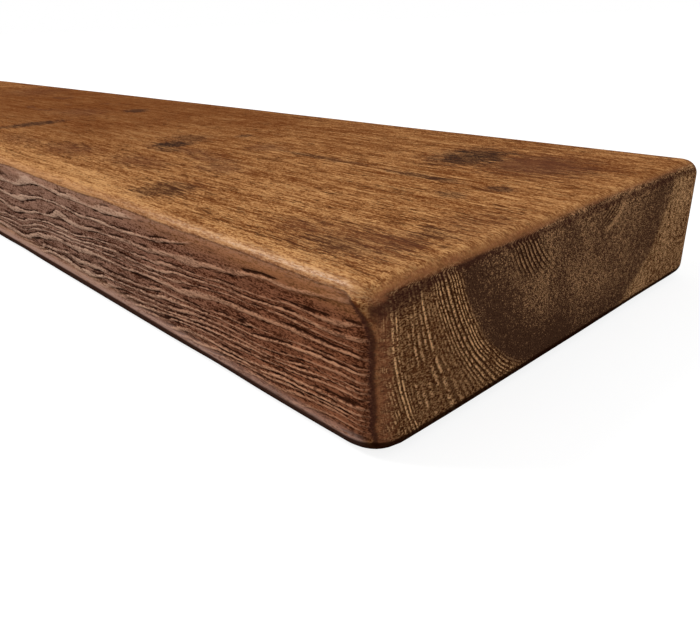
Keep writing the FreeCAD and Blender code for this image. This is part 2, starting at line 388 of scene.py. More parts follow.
def quarter(centre, radius, first_angle, count):
    """Points and outward directions on a quarter turn, without its last point."""
    made = []
    for i in range(count):
        angle = math.radians(first_angle + 90 * i / count)
        way = Vector((math.cos(angle), math.sin(angle)))
        made.append((Vector(centre) + way * radius, way))
    return made


def outline_stations(low, high, radius):
    """The board's outline from above: points, each with its outward direction and its side."""
    left, right = low.x + radius, high.x - radius
    front, back = low.y + radius, high.y - radius
    near = right - NEAR_REACH
    stations = []

    def side(name, values, make):
        stations.extend((*make(value), name) for value in values)

    def corner(centre, angle, before, after):
        turn = quarter(centre, radius, angle, CORNER_COLUMNS)
        for i, (point, way) in enumerate(turn):
            stations.append((point, way, before if i < CORNER_COLUMNS // 2 else after))

    fine = steps(left, near, FRONT_STEP) + steps(near, right, NEAR_STEP)
    side("front", fine, lambda x: (Vector((x, low.y)), Vector((0, -1))))
    corner((right, front), -90, "front", "right")
    side("right", steps(front, back, END_STEP), lambda y: (Vector((high.x, y)), Vector((1, 0))))
    corner((right, back), 0, "right", "back")
    side("back", steps(right, left, BACK_STEP), lambda x: (Vector((x, high.y)), Vector((0, 1))))
    corner((left, back), 90, "back", "left")
    side("left", steps(back, front, END_STEP), lambda y: (Vector((low.x, y)), Vector((-1, 0))))
    corner((left, front), 180, "left", "front")
    return stations


def edge_rows(low, high, radius):
    """Rows up the board's side: inset from the outline, height, and length along the curve."""
    rows = []
    for i in range(EDGE_ROWS):
        angle = math.radians(90 * i / EDGE_ROWS)
        rows.append((radius * (1 - math.sin(angle)), low + radius * (1 - math.cos(angle)), radius * angle))
    bend = radius * math.pi / 2
    for z in steps(low + radius, high - radius, ROW_STEP):
        rows.append((0, z, bend + z - low - radius))
    for i in range(EDGE_ROWS + 1):
        angle = math.radians(90 * i / EDGE_ROWS)
        height = high - radius + radius * math.sin(angle)
        along = bend + high - low - 2 * radius + radius * angle
        rows.append((radius * (1 - math.cos(angle)), height, along))
    return rows


def box_shares(left, right, low, high):
    """Shares of a place on the bake map for the corners of a four-sided face."""
    return ((left, low), (right, low), (right, high), (left, high))


class BoardMesh:
    """The board as it is sanded, before its front is brushed, with its bake map."""

    def __init__(self, settings):
        self.mesh = bmesh.new()
        self.map = self.mesh.loops.layers.uv.new("OFBake")
        self.edge = settings.edge_round
        self.stations = outline_stations(BOARD_LOW, BOARD_HIGH, settings.corner_round)
        self.rows = edge_rows(BOARD_LOW.z, BOARD_HIGH.z, self.edge)
        self.columns = [self.column(point, way) for point, way, side in self.stations]

    def column(self, point, way):
        new = self.mesh.verts.new
        return [new((*(point - way * inset), height)) for inset, height, along in self.rows]

    def face(self, points, side, shares):
        """Adds a face whose corners lie at those shares of its side's place on the bake map."""
        self.lay(self.mesh.faces.new(points), side, shares)

    def lay(self, face, side, shares):
        """Smooths a face and puts it on the bake map."""
        face.smooth = True
        left, bottom, right, top = MAP_PLACES[side]
        for loop, (across, up) in zip(face.loops, shares):
            loop[self.map].uv = (left + (right - left) * across, bottom + (top - bottom) * up)

    def stretches(self):
        """Where each column starts and ends along the outline, as shares of its side's length."""
        points = [point for point, way, side in self.stations]
        lengths = [0]
        for one, two in zip(points, points[1:] + points[:1]):
            lengths.append(lengths[-1] + (two - one).length)
        wrapped = len(points) - CORNER_COLUMNS // 2
        spans = []
        ends = {}
        for i, (point, way, side) in enumerate(self.stations):
            shift = lengths[-1] if i >= wrapped else 0
            start, end = lengths[i] - shift, lengths[i + 1] - shift
            first, last = ends.get(side, (start, end))
            ends[side] = (min(first, start), max(last, end))
            spans.append((start, end, side))
        made = []
        for start, end, side in spans:
            first, last = ends[side]
            made.append(((start - first) / (last - first), (end - first) / (last - first)))
        return made

    def sides(self):
        """The four sides with their rounded edges, left open at the back for the support holes."""
        count = len(self.stations)
        flat_low = EDGE_ROWS + BACK_ROWS
        flat_high = len(self.rows) - EDGE_ROWS - 1 - BACK_ROWS
        straight = [i for i, (point, way, side) in enumerate(self.stations) if way.y == 1]
        open_back = set(straight[1:-2])
        tall = self.rows[-1][2]
        for i, (left, right) in enumerate(self.stretches()):
            here, after = self.columns[i], self.columns[(i + 1) % count]
            for j in range(len(self.rows) - 1):
                if i in open_back and flat_low <= j < flat_high:
                    continue
                shares = box_shares(left, right, self.rows[j][2] / tall, self.rows[j + 1][2] / tall)
                self.face((here[j], after[j], after[j + 1], here[j + 1]), self.stations[i][2], shares)

    def cap(self, row, height, side):
        """The flat top or underside inside the rounded edge."""
        new = self.mesh.verts.new
        inset = self.edge + CAP_BAND
        inner = [new((*(point - way * inset), height)) for point, way, name in self.stations]

        def share(vertex):
            return ((vertex.co.x - BOARD_LOW.x) / BOARD_SIZE.x, (vertex.co.y - BOARD_LOW.y) / BOARD_SIZE.y)

        outer = [column[row] for column in self.columns]
        for i in range(len(inner)):
            after = (i + 1) % len(inner)
            corners = (outer[i], outer[after], inner[after], inner[i])
            self.face(corners, side, [share(corner) for corner in corners])
        self.face(inner, side, [share(corner) for corner in inner])

    def ring(self, points):
        """A closed line of sharp edges."""
        made = [self.mesh.verts.new(point) for point in points]
        for pair in zip(made, made[1:] + made[:1]):
            self.mesh.edges.new(pair).smooth = False
        return made

    def edges_of(self, ring):
        return [self.mesh.edges.get(pair) for pair in zip(ring, ring[1:] + ring[:1])]

    def bridge(self, one, two, side, band):
        """Faces between two rings."""
        count = len(one)
        for i in range(count):
            after = (i + 1) % count
            shares = box_shares(i / count, (i + 1) / count, *band)
            self.face((one[i], one[after], two[after], two[i]), side, shares)

    def fill(self, edges, side, share):
        """A flat face with holes, inside those edges."""
        made = bmesh.ops.triangle_fill(self.mesh, use_beauty=True, edges=edges)
        for part in made["geom"]:
            if isinstance(part, bmesh.types.BMFace):
                self.lay(part, side, [share(loop.vert.co) for loop in part.loops])

    def support_hole(self, name):
        """A routed recess for a wall plate and the drilled bore for its rod."""
        low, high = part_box("support_plate_" + name)
        rod_low, rod_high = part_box("support_rod_" + name)
        side = "hole_" + name
        middle = (low + high) / 2
        back = BOARD_HIGH.y
        floor = low.y - PLATE_ROOM_BEHIND
        half = Vector(((high.x - low.x) / 2 + PLATE_ROOM, (high.z - low.z) / 2 + PLATE_ROOM))
        outline = []
        for turn, (sx, sz) in enumerate(((1, -1), (1, 1), (-1, 1), (-1, -1))):
            centre = (sx * (half.x - RECESS_CORNER), sz * (half.y - RECESS_CORNER))
            outline += quarter(centre, RECESS_CORNER, -90 + 90 * turn, RECESS_POINTS)
        ways = [way for turn in range(4) for point, way in quarter((0, 0), 1, 90 * turn, BORE_POINTS)]

        def recess_ring(depth, grow):
            spots = [point + way * grow for point, way in outline]
            return self.ring([(middle.x + spot.x, depth, middle.z + spot.y) for spot in spots])

        def bore_ring(depth, radius):
            return self.ring([(middle.x + w.x * radius, depth, middle.z + w.y * radius) for w in ways])

        mouth = recess_ring(back, EDGE_BREAK)
        inside = recess_ring(back - EDGE_BREAK, 0)
        foot = recess_ring(floor, 0)
        self.bridge(mouth, inside, side, BREAK_BAND)
        self.bridge(inside, foot, side, WALL_BAND)

        bore = (rod_high.x - rod_low.x) / 2 + ROD_ROOM
        end = rod_low.y - ROD_END_ROOM
        chamfer = bore_ring(floor, bore + BORE_CHAMFER)
        start = bore_ring(floor - BORE_CHAMFER, bore)
        last = bore_ring(end, bore)
        self.bridge(chamfer, start, side, CHAMFER_BAND)
        self.bridge(start, last, side, BORE_BAND)
        tip = self.mesh.verts.new((middle.x, end - bore / math.tan(DRILL_POINT / 2), middle.z))
        count = len(last)
        for i, vertex in enumerate(last):
            left, right = i / count, (i + 1) / count
            shares = ((left, POINT_BAND[0]), (right, POINT_BAND[0]), ((left + right) / 2, POINT_BAND[1]))
            self.face((vertex, last[(i + 1) % count], tip), side, shares)

        def floor_share(spot):
            across = (spot.x - middle.x) / half.x
            up = (spot.z - middle.z) / half.y
            return (FLOOR_MIDDLE[0] + FLOOR_SPREAD[0] * across, FLOOR_MIDDLE[1] + FLOOR_SPREAD[1] * up)

        self.fill(self.edges_of(foot) + self.edges_of(chamfer), side, floor_share)

    def back_face(self):
        """The flat back round the three recesses."""
        back = BOARD_HIGH.y - 1e-6
        edges = [edge for edge in self.mesh.edges if len(edge.link_faces) == 1]
        edges = [edge for edge in edges if all(vertex.co.y > back for vertex in edge.verts)]

        def share(spot):
            return (1 - (spot.x - BOARD_LOW.x) / BOARD_SIZE.x, (spot.z - BOARD_LOW.z) / BOARD_SIZE.z)

        self.fill(edges, "back", share)

    def build(self):
        self.sides()
        self.cap(0, BOARD_LOW.z, "under")
        self.cap(-1, BOARD_HIGH.z, "top")
        for name in SIDES:
            self.support_hole(name)
        self.back_face()
        unused = [vertex for vertex in self.mesh.verts if not vertex.link_faces]
        bmesh.ops.delete(self.mesh, geom=unused, context="VERTS")
        bmesh.ops.recalc_face_normals(self.mesh, faces=self.mesh.faces)
        made = bpy.data.meshes.new("shelf_board_sanded")
        self.mesh.to_mesh(made)
        self.mesh.free()
        return made


# Reach of wear from the edges and from the corner tips, in millimetres
EDGE_WEAR = 6
TIP_WEAR = 11


def carve_tree(settings):
    """Geometry nodes that brush the front and wear the corners, and keep each point's first place as rest."""
    tree = bpy.data.node_groups.new("brush_and_wear", "GeometryNodeTree")
    tree.interface.new_socket("Geometry", in_out="INPUT", socket_type="NodeSocketGeometry")
    tree.interface.new_socket("Geometry", in_out="OUTPUT", socket_type="NodeSocketGeometry")
    nodes = Nodes(tree)
    position = nodes.add("GeometryNodeInputPosition")
    marked = nodes.add(
        "GeometryNodeStoreNamedAttribute",
        {"data_type": "FLOAT_VECTOR", "domain": "POINT"},
        {"Geometry": nodes.add("NodeGroupInput"), "Name": "rest", "Value": position},
    )
    at = grow_rings(measure(nodes, position), settings.ring_gap / MM)
    field, inset = brushed_field(at)
    ridge, cracks = front_bands(at)
    soft = (1 - ridge * (0.5 + at.luck * 0.5)) * (0.5 + lumps(at, "softness"))
    off_end = fade(at.from_end, 3, 9)
    brushed = field * off_end * (soft + cracks * 0.9) * (settings.relief / MM)
    distances = (at.from_end, at.from_side, at.from_face)
    near = [fade(distance, EDGE_WEAR, 0) for distance in distances]
    wide = [fade(distance, TIP_WEAR, 0) for distance in distances]
    tips = wide[0] * wide[1] * wide[2] * (0.1 + 1.7 * fade(at.y, 150, 60))
    edges = most(most(near[0] * near[1], near[1] * near[2]), near[0] * near[2])
    depth = brushed + tips + edges * fade(lumps(at, "knocks"), 0.45, 0.75) * 0.5
    offset = nodes.add("GeometryNodeInputNormal") * (depth * -MM)
    moved = nodes.add("GeometryNodeSetPosition", None, {"Geometry": marked, "Offset": offset})
    nodes.add("NodeGroupOutput", None, {0: moved})
    return tree


def shaped(piece, tree):
    """Applies a geometry node tree to a piece for good."""
    modifier = piece.modifiers.new("carve", "NODES")
    modifier.node_group = tree
    bpy.context.view_layer.update()
    graph = bpy.context.evaluated_depsgraph_get()
    made = bpy.data.meshes.new_from_object(piece.evaluated_get(graph))
    piece.modifiers.clear()
    piece.data = made
    bpy.data.node_groups.remove(tree)
    made.name = "shelf_board_brushed"


# Finishes

def new_finish(name):
    material = bpy.data.materials.new(name)
    material.use_nodes = True
    material.node_tree.nodes.clear()
    return material, Nodes(material.node_tree)


def bumped(height, strength, distance):
    values = {"Strength": strength, "Distance": distance, "Height": height}
    return height.nodes.add("ShaderNodeBump", None, values)


def finished(nodes, sockets):
    """Ends a finish with its shader."""
    shader = nodes.add("ShaderNodeBsdfPrincipled", None, sockets)
    nodes.add("ShaderNodeOutputMaterial", None, {"Surface": shader})


# Knots and smudges on the top: middle from the right end and the front, half length, half width, strength
DARK_MARKS = (
    (-69, 124, 13, 16, 0.95),
    (-197, 66, 9, 9, 1),
    (-206, 80, 12, 8, 0.5),
    (-186, 58, 8, 5, 0.5),
    (-188, 100, 4, 3.5, 0.7),
    (-117, 18, 11, 10, 0.55),
    (-114, 87, 25, 2.2, 0.5),
    (-61, 86, 17, 2.6, 0.65),
    (-30, 87, 4.5, 3.5, 0.75),
    (-37.5, 72, 5, 4, 0.6),
    (-16, 38, 6, 4, 0.45),
    (-30, 17, 12, 5, 0.3),
    (-338, 118, 9, 6, 0.9),
    (-334, 51, 8, 17, 0.85),
    (-640, 60, 12, 10, 0.8),
    (-780, 118, 14, 10, 0.6),
)
BROWN_MARKS = (
    (-41, 125, 19, 16, 1),
    (-27, 21, 21, 11, 0.6),
    (-19, 26, 9, 8, 0.75),
    (-46, 20, 11, 5, 0.6),
    (-12, 50, 9, 16, 0.4),
    (-172, 62, 15, 4.5, 0.7),
    (-150, 57, 14, 4.5, 0.7),
    (-132, 50, 11, 6, 0.7),
    (-152, 87, 9, 6, 0.7),
    (-172, 36, 17, 7, 0.6),
    (-228, 30, 20, 8, 0.65),
    (-366, 93, 22, 12, 0.6),
    (-280, 24, 25, 6, 0.4),
    (-560, 130, 40, 18, 0.5),
    (-700, 40, 45, 14, 0.5),
)
# How deep the marks go under the top
MARK_REACH = 9
# A stretch of the top with combed dark threads: middle and radii
COMBED = ((-98, 90, HALF_THICK), (62, 9, MARK_REACH))

# Distance of the ring lines on the sawn ends, in year rings: in the sapwood, and near the pith
END_RING = 1.085
INNER_RING = 1.427
# Radii of two bright rings in the sapwood, and of a scar behind the pith
BRIGHT_RING = 82
SHORT_RING = 74.2
SCAR_RADIUS = 29.6


def marks(at, spots, ragged):
    """How strongly the marks on the top show, with ragged rims, and the soft halo round them."""
    core = halo = None
    for x, y, half_length, half_width, strength in spots:
        away = span(at.place, (x, y, HALF_THICK), (half_length, half_width, MARK_REACH)) + ragged
        shown = fade(away, 1.25, 0.55) * strength
        faint = fade(away, 1.9, 0.7) * strength
        core = shown if core is None else most(core, shown)
        halo = faint if halo is None else most(halo, faint)
    return core, halo


def add_grain(at):
    """The noises that several parts of the stain share, and where the front gets a painted grey sheen."""
    for name in ("fibre", "fleck", "grit", "dust", "patch", "streak", "cluster", "blot", "sanding"):
        setattr(at, name, swing(at, name))
    at.pore = swing(at, "pore") + at.dust * 0.45
    # Painted sheen: the front turns greyer from near the right end to near the left end
    at.greyed = fade(at.from_right, 10, 170) * fade(at.from_right, 890, 720)


def planed_stain(at, stain):
    """Stain on the top and underside with its marks; also where dark dashes crowd, and the dashes."""
    calm = 1 - fade(at.from_right, 130, 420) * 0.3
    from_rim = least(at.y, at.from_right)
    combed = fade(span(at.place, *COMBED), 1.3, 0.7)
    tone = (at.fibre * 4.6 + at.grit * 5.4 + at.dust * 1.5) * calm
    tone = tone + at.streak * 2 + at.patch * 1.5 + at.cluster * 0.8
    tone = tone + swing(at, "thread") * (1 + combed * 4)
    tone = tone + fade(from_rim, 16, 5) * 0.15 - fade(at.from_back, 110, 30) * 0.2
    tone = tone + fade(at.y + at.patch * 40, 24, 6) * fade(at.from_right, 60, 140) * 0.4
    # Darker brown over a stretch from about 90-330 mm in from the right end to about 520-760 mm, away from
    # the front edge
    darker_stretch = fade(at.from_right, 90, 330) * fade(at.from_right + at.patch * 200, 760, 520)
    darker_stretch = darker_stretch * fade(at.y + at.patch * 60, 10, 60)
    colour = tint(stain.top_brown, stain.top_light, fade(tone, -0.8, 0.3))
    colour = tint(colour, stain.top_gold, fade(tone, 0.05, 1))
    colour = tint(colour, stain.top_brown, darker_stretch * 0.6)

    # Knots, smudges and the dashes that gather round them
    warp = swing(at, "warp")
    ragged = warp * 1.9 + at.fibre * 1.6 + at.grit * 0.8
    smudge, smudge_halo = marks(at, BROWN_MARKS, ragged)
    knot, knot_halo = marks(at, DARK_MARKS, ragged)
    blotch = swing(at, "blotch") + warp * 0.2 + at.fibre * 0.1
    stray = fade(blotch, 0.08, 0.19) * fade(at.from_right, 330, 420)
    halo = most(most(smudge_halo, stray), knot_halo)
    crowd = fade(at.cluster, -0.08, 0.18) * 0.09 + halo * 0.08
    dash = fade(at.fleck + at.grit * 0.5 + crowd, 0.107, 0.177) * calm
    colour = tint(colour, stain.fibre_dark, dash * (0.9 - fade(from_rim, 9, 4) * 0.5))
    colour = tint(colour, stain.mark_brown, most(smudge * 0.62, halo * 0.36))
    colour = tint(colour, stain.mark_dark, knot * (0.4 + 0.6 * fade(at.grit + at.fibre, 0.1, -0.12)))
    return colour, crowd, dash


def front_stain(at, stain, crowd):
    """Stain on the brushed front: brown soft wood, pale ridges and dark cracks, greyed by a painted sheen
    away from the right end.
    """
    ridge, cracks = front_bands(at)
    off_end = fade(at.from_end, 2.5, 6)
    tone = at.fibre * 3.4 + at.grit * 4 + at.dust * 2.4 + at.fleck * 1.6 + at.patch * 0.9
    tone = tone + at.greyed * 0.12 + fade(at.from_top, 11, 4) * 0.4
    # Painted sheen: greyer copies of the soft and hard wood
    soft_wood = tint(stain.front_brown, stain.front_sheen_grey, at.greyed)
    hard_wood = tint(stain.front_ridge, stain.front_ridge_sheen_grey, at.greyed)
    colour = tint(stain.front_valley, soft_wood, fade(tone, -0.55, 0.5))
    warm = fade(at.from_top + at.patch * 6, 9, 3) * (0.42 - at.greyed * 0.3)
    colour = tint(colour, stain.top_light, warm)
    grain = 0.25 + 0.75 * fade(at.fibre * 2.8 + at.grit * 3 + at.patch, -0.55, 0.35)
    pale = ridge * grain * (0.65 + 0.35 * at.luck) * (0.5 + 0.5 * off_end)
    colour = tint(colour, hard_wood, pale)
    colour = tint(colour, stain.crack_and_foot_shade, cracks * 0.95 * off_end)
    specks = fade(at.fleck + crowd, 0.1, 0.2) * (1 - ridge) * (0.35 + at.greyed * 0.2)
    return tint(colour, stain.crack_and_foot_shade, specks)


def end_stain(at, stain):
    """Stain on the sawn ends: speckled dark heartwood, and ring lines in the paler sapwood."""
    rim = stain.heart_radius / MM
    heart = 1 - fade(at.radius + at.pore * 4, rim - 1, rim + 1.5)
    front_half = fade(at.y, 95, 75)
    front_sap = (1 - heart) * front_half
    back_sap = (1 - heart) * (1 - front_half)
    dense = front_sap * fade(at.bent, 75, 68)
    sparse = front_sap - dense
    border = back_sap * fade(at.bent, rim + 5, rim + 3.5)
    woven = at.pore + swing(at, "tick") * front_sap * 0.8

    # Ring lines in the sapwood and the dark gaps between them
    count = (at.bent + at.uneven * 1.2) / (at.ring_gap * END_RING)
    share = fraction(count)
    short_ring = lies_near(at.bent, SHORT_RING, 1) * fade(at.z, -8, 6)
    bright = most(lies_near(at.bent, BRIGHT_RING, 1.7), short_ring)
    cloudy = 0.3 + 0.7 * fade(at.cluster + at.blot * 0.5, -0.12, 0.08)
    shown = sparse * (0.26 + luck_of(count) * 0.6) * cloudy
    shown = most(shown, most(bright * front_sap, border * 0.7))
    dashes = fade(woven * 1.3 + at.blot + at.cluster * 0.5 + bright * 0.06, -0.04, 0.07)
    clear = dense * (0.4 + 0.6 * fade(at.z + at.cluster * 40, -26, -8))
    on_ring = fade(share, 0.45, 0.6) * fade(share, 1, 0.88)
    line = most(on_ring * shown * dashes, on_ring * clear * (0.1 + dashes * 0.9))
    between = fade(share, 0.44, 0.28) * fade(share, -0.02, 0.08)
    gap = between * most(clear * 0.95, most(sparse * cloudy, border) * 0.6)

    # Arcs round the pith and the scar behind it
    before_pith = fade(at.radius, 30, 34) * fade(at.radius, 46, 41) * fade(at.y, 78, 64)
    behind_pith = fade(at.radius, 21, 23) * fade(at.radius, 29, 27) * fade(at.y, 94, 98)
    arcs = most(before_pith, behind_pith * 0.8) * fade(at.z + at.blot * 8, 5, 11)
    inner = fraction(at.bent / (at.ring_gap * INNER_RING))
    arc_dark = fade(inner, 0.5, 0.35) * fade(inner, -0.05, 0.08) * arcs
    arc_light = fade(inner, 0.6, 0.75) * fade(inner, 1, 0.9) * arcs * dashes
    scar = lies_near(at.radius, SCAR_RADIUS, 1.2) * fade(at.y, 98, 101) * fade(at.z, 8, 11)
    line = most(line, most(arc_light * 0.8, scar * fade(at.pore, -0.12, 0.05) * 0.9))
    gap = most(gap, arc_dark)

    # Pale specks, dark pores and the shade under the rim
    deep = fade(at.radius, 44, 58) * (0.03 + front_half * 0.05) + fade(at.z, 0, -16) * 0.05
    deep = deep * heart - back_sap * fade(at.y, 164, 150) * 0.02
    speck = fade(woven + at.blot * 0.4 + at.patch * 0.25 - deep, 0.025, 0.1)
    pit = fade(woven + at.blot * 0.2 + at.grit * 0.5 - back_sap * 0.03, -0.04, -0.11)
    light = tint(stain.end_sap_light, stain.end_heart_light, heart * fade(at.blot, -0.25, 0.1))
    dark = tint(stain.end_sap, stain.end_heart, heart)
    colour = tint(dark, light, most(speck * (0.9 - front_sap * 0.52), line))
    colour = tint(colour, stain.crack_and_foot_shade, most(pit, gap) * 0.92)
    shade = fade(at.from_top, 1.8, 2.4) * fade(at.from_top, 4.4, 2.8)
    return tint(colour, stain.seam, shade * 0.6)


def edge_stain(at, stain, dash):
    """Stain on the sanded edges, golden on the upper ones; also its light and dark tone."""
    on_end = fade(at.from_end, 4, 2)
    tone = (at.fibre * 2.2 + at.streak * 0.8) * (1 - on_end) + at.grit * 2 + at.sanding * on_end * 3
    colour = tint(stain.edge_brown, stain.edge_orange, fade(tone, -0.5, 0.4))
    golden = tint(stain.top_light, stain.top_gold, fade(tone, -0.5, 0.6) * (1 - on_end))
    golden = tint(golden, stain.edge_orange, on_end * (0.25 + 0.5 * fade(tone, 0.4, -0.4)))
    upper = fade(at.from_top - at.tip * 0.6, 3.4, 1.4) * (1 - at.greyed * 0.35)
    colour = tint(colour, golden, upper)
    return tint(colour, stain.fibre_dark, dash * 0.35), tone


def painted_edge_shade(at, inset):
    """Painted shade: down the upright corner, under its tip and under the ends' rims."""
    frayed = inset + at.grit * 1.6 + at.fibre * 1.2
    seam = fade(frayed, -0.5, 0.1) * fade(frayed, 1.5, 0.7)
    seam = seam * fade(at.y, 4, 2.6) * fade(at.from_right, 13, 6)
    brow = fade(at.from_top + at.y * 0.2 + at.blot * 6, 11, 6.5) * fade(at.from_end, 4, 2)
    under_tip = at.from_top - at.tip
    lip = fade(under_tip, 5.6, 3.8) * fade(at.from_tip, 13, 8)
    return most(most(seam * 0.85, lip * 0.4), brow * 0.8) * fade(under_tip, 2.4, 3.6)


def stained_pine(stain):
    """Brushed, stained and hand-sanded softwood: long grain, end grain, rounded edges and raw holes."""
    material, nodes = new_finish("stained_pine")
    source = {"attribute_type": "GEOMETRY", "attribute_name": "rest"}
    rest = nodes.add("ShaderNodeAttribute", source, None, "Vector")
    at = grow_rings(measure(nodes, rest), stain.ring_gap / MM)
    add_grain(at)
    field, inset = brushed_field(at)
    flat, crowd, dash = planed_stain(at, stain)
    rounded, edge_tone = edge_stain(at, stain, dash)

    # Faces, ends and the edges between them
    distances = (at.from_end, at.from_side, at.from_face)
    near_end, near_side, near_face = [fade(distance, 4.5, 0.8) for distance in distances]
    thin = fade(at.y, 40, 95) * 0.9
    rim_end = near_end * fade(at.from_face + at.sanding * 2 - at.tip + thin, 2.7, 1.5)
    upright = fade(at.from_side + at.pore * 9 + at.blot * 6, 7.5, 3.5) * fade(at.from_end, 4.5, 1.5) * 0.8
    edge = most(most(near_end * near_side, near_side * near_face), most(rim_end, upright))
    colour = tint(flat, end_stain(at, stain), fade(at.from_end - thin, 1.8, 0.9))
    colour = tint(colour, rounded, edge * 0.85)

    # The front, with the sanded strip and the painted shade along its foot
    low_strip = fade(at.from_under + at.fibre * 4, 12, 6) * fade(at.y, 4, 2)
    low_strip = low_strip * fade(at.from_end, 3, 6)
    colour = tint(colour, stain.front_low, low_strip * fade(edge_tone, -0.9, 0.2))
    colour = tint(colour, front_stain(at, stain, crowd), field)
    torn = field * (1 - field) * 4 * fade(at.from_top, 8, 6)
    colour = tint(colour, stain.crack_and_foot_shade, torn * 0.5)
    # Painted shade down the upright corner, under its tip and under the ends' rims
    colour = tint(colour, stain.seam, painted_edge_shade(at, inset))
    # Painted shade: a near-black line along the rounded foot of the front and the ends, where the underside
    # turns away from the light
    low_rim = most(fade(at.from_side, 5, 3.2), fade(at.from_end, 5, 3.2))
    foot = fade(at.from_under - at.greyed, 5, 4) * low_rim
    colour = tint(colour, stain.crack_and_foot_shade, foot * 0.93)

    # Raw wood in the recesses and bores
    off_faces = fade(at.from_back, 0.05, 0.35) * fade(at.y, 1.5, 2.5) * fade(at.from_face, 3, 4)
    inside = off_faces * fade(at.from_end, 8, 9)
    late_wood = fade(at.share, 0.7, 0.9) * fade(at.share, 1, 0.96)
    grain = fade(at.fibre, -0.1, 0.12) * 0.6 + late_wood * 0.4
    colour = tint(colour, tint(stain.raw_light, stain.raw_dark, grain), inside)

    worn = near_side * fade(at.from_top, 5, 3) * (1 - at.greyed * 0.75)
    coat = worn * (0.12 + fade(at.grit, -0.1, 0.1) * 0.34) + field * 0.02
    finished(nodes, {
        "Base Color": colour,
        "Roughness": 0.6 + at.fibre * 0.3,
        "Specular IOR Level": 0,
        "Coat Weight": coat * (1 - inside),
        "Coat Roughness": 0.38,
        "Normal": bumped(at.fibre * 0.6 + at.grit * 0.5 + at.fleck * 0.3, 0.8, 0.4 * MM),
    })
    return material


def in_millimetres(nodes):
    """A steel piece's own place, in millimetres."""
    return nodes.add("ShaderNodeTexCoord", None, None, "Object") * (1 / MM)


def zinc_plate(settings, grain, name):
    """Bright zinc on steel, clouded by its passivation, with fine lines along its grain."""
    material, nodes = new_finish(name)
    place = in_millimetres(nodes)
    cloud = nodes.noise(place, (9, 9, 9), 3, 0.55, 2)
    lines = nodes.noise(place, grain, 3, 0.6, 5)
    grime = nodes.noise(place, (22, 14, 14), 4, 0.6, 9)
    colour = tint(settings.zinc, settings.zinc_warm, fade(cloud, 0.42, 0.62))
    colour = tint(colour, settings.zinc_dull, fade(grime, 0.52, 0.7) * 0.5)
    finished(nodes, {
        "Base Color": colour,
        "Metallic": 1,
        "Roughness": 0.3 + (lines - 0.5) * 0.25 + fade(grime, 0.5, 0.7) * 0.15,
        "Normal": bumped(lines, 0.35, 0.05 * MM),
    })
    return material


def black_oxide(settings):
    """Oil-blackened steel, rubbed a little brighter in patches."""
    material, nodes = new_finish("blackened_steel")
    place = in_millimetres(nodes)
    cloud = nodes.noise(place, (3, 3, 3), 3, 0.6, 2)
    speck = nodes.noise(place, (0.5, 0.5, 0.5), 2, 0.6, 5)
    finished(nodes, {
        "Base Color": tint(settings.oxide, settings.oxide_rubbed, fade(cloud, 0.55, 0.72) * 0.6),
        "Metallic": 0.85,
        "Roughness": 0.38 + (cloud - 0.5) * 0.3,
        "Normal": bumped(speck, 0.3, 0.04 * MM),
    })
    return material


def dress(prefix, material):
    """Gives the CAD nodes of one kind their finish."""
    for side in SIDES:
        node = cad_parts[prefix + side]
        node.data.materials.clear()
        node.data.materials.append(material)


# What a user may change

def length_setting(name, description, default):
    return FloatProperty(name=name, description=description, default=default, unit="LENGTH")


def colour_setting(name, description, default):
    return FloatVectorProperty(
        name=name, description=description, default=default, subtype="COLOR", size=3, min=0, max=1
    )


